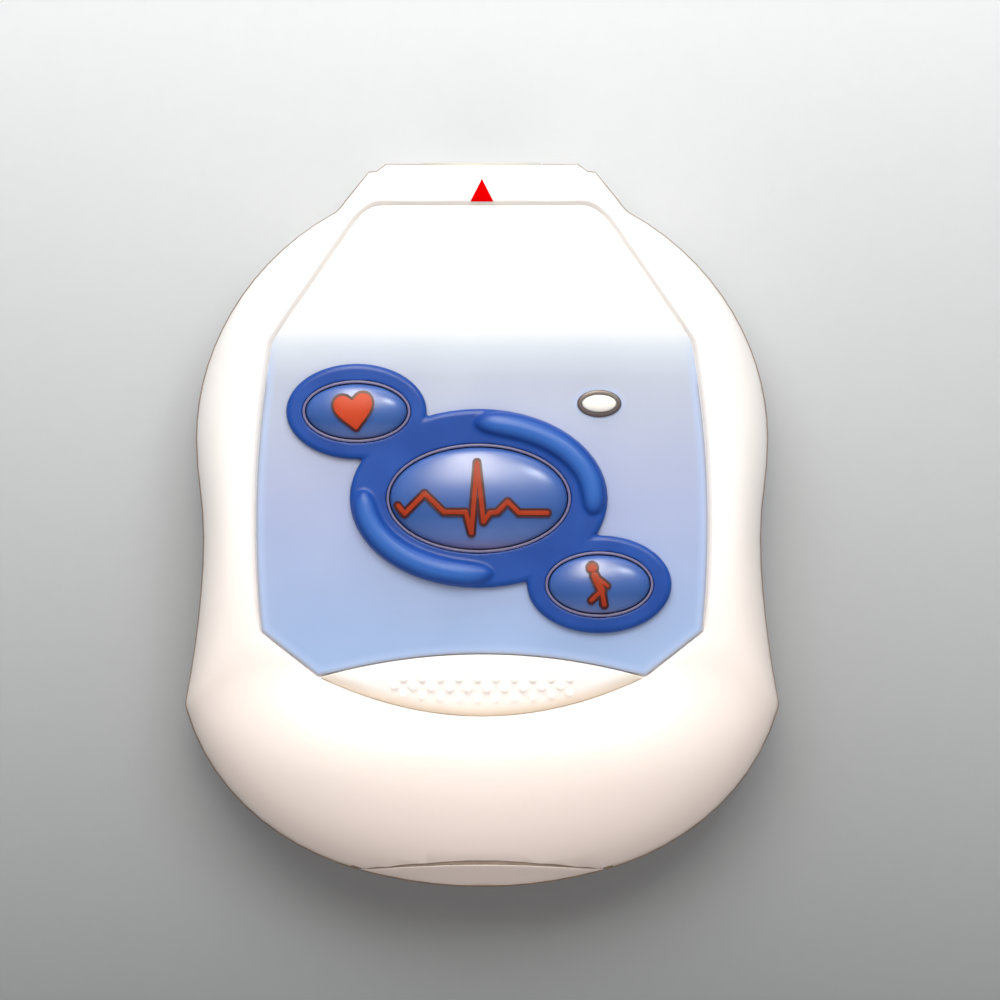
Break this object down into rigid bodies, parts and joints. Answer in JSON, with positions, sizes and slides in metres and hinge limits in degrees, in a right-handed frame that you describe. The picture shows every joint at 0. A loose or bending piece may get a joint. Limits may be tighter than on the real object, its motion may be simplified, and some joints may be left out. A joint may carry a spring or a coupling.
{
  "type": "ecg home monitor",
  "caption": "Palm-sized heart recorder lying on its back: white casing, blue domed push buttons with pictograms, pull-out coin-cell drawer and a lead socket in its collar.",
  "frame": {"origin": "middle of the length and width, on the plane of the four electrode faces on which it rests", "axes": "+Z out of the front face, +Y towards the collar with the lead socket, +X to the right as seen from the front"},
  "size_m": [0.0744, 0.0908, 0.0197],
  "materials": {
    "casing_white": "semi-gloss moulded white plastic",
    "cover_white": "finely textured white plastic",
    "seal_grey": "soft grey-brown seal",
    "label_panel": "smooth panel, white fading to pale blue",
    "mark_red": "red inlay",
    "grip_white": "dotted grip",
    "bezel_blue": "glossy deep blue plastic",
    "trim_lilac": "thin lilac-grey line",
    "button_blue": "glossy blue domes",
    "emblem_orange": "raised orange-red pictograms",
    "rim_brown": "dark rim",
    "lens_white": "milky lens",
    "emitter": "light-emitting chip in its case",
    "board_green": "green lacquered board",
    "chip_black": "black moulded package",
    "passives": "ceramic parts",
    "steel": "bright steel",
    "electrode_steel": "polished stainless steel",
    "actuator_red": "switch plunger",
    "socket_dark": "black socket body",
    "contact_gold": "gold plated contacts"
  },
  "bodies": {
    "casing": {"front_shell": "casing_white", "rear_cover": "cover_white", "case_gasket": "seal_grey", "faceplate": "label_panel", "pointer_mark": "mark_red", "thumb_rest": "grip_white", "button_bezel": "bezel_blue", "heart_trim": "trim_lilac", "trace_trim": "trim_lilac", "figure_trim": "trim_lilac", "led_rim": "rim_brown", "led_lens": "lens_white", "led_emitter": "emitter", "circuit_board": "board_green", "signal_chip": "chip_black", "memory_chip": "chip_black", "clock_crystal": "steel", "passive_parts": "passives", "beeper": "chip_black", "heart_switch": "steel", "trace_switch": "steel", "figure_switch": "steel", "lead_socket": "socket_dark", "socket_pins": "contact_gold", "battery_contact_plus": "contact_gold", "battery_contact_minus": "contact_gold", "electrode_upper_left": "electrode_steel", "electrode_upper_right": "electrode_steel", "electrode_lower_left": "electrode_steel", "electrode_lower_right": "electrode_steel", "case_screws": "steel", "board_screws": "steel"},
    "heart_key": {"heart_button": "button_blue", "heart_emblem": "emblem_orange", "heart_actuator": "actuator_red"},
    "trace_key": {"trace_button": "button_blue", "trace_emblem": "emblem_orange", "trace_actuator": "actuator_red"},
    "figure_key": {"figure_button": "button_blue", "figure_emblem": "emblem_orange", "figure_actuator": "actuator_red"},
    "drawer": {"battery_drawer": "casing_white", "drawer_seal": "seal_grey", "coin_cell": "steel"}
  },
  "joints": [
    {"name": "heart_press", "type": "slide", "parent": "casing", "child": "heart_key", "axis": [0, 0, -1], "range_m": [0, 0.0006], "stiffness_N_per_m": 1200},
    {"name": "trace_press", "type": "slide", "parent": "casing", "child": "trace_key", "axis": [0, 0, -1], "range_m": [0, 0.0006], "stiffness_N_per_m": 1200},
    {"name": "figure_press", "type": "slide", "parent": "casing", "child": "figure_key", "axis": [0, 0, -1], "range_m": [0, 0.0006], "stiffness_N_per_m": 1200},
    {"name": "drawer_slide", "type": "slide", "parent": "casing", "child": "drawer", "axis": [0, -1, 0], "range_m": [0, 0.029]}
  ]
}
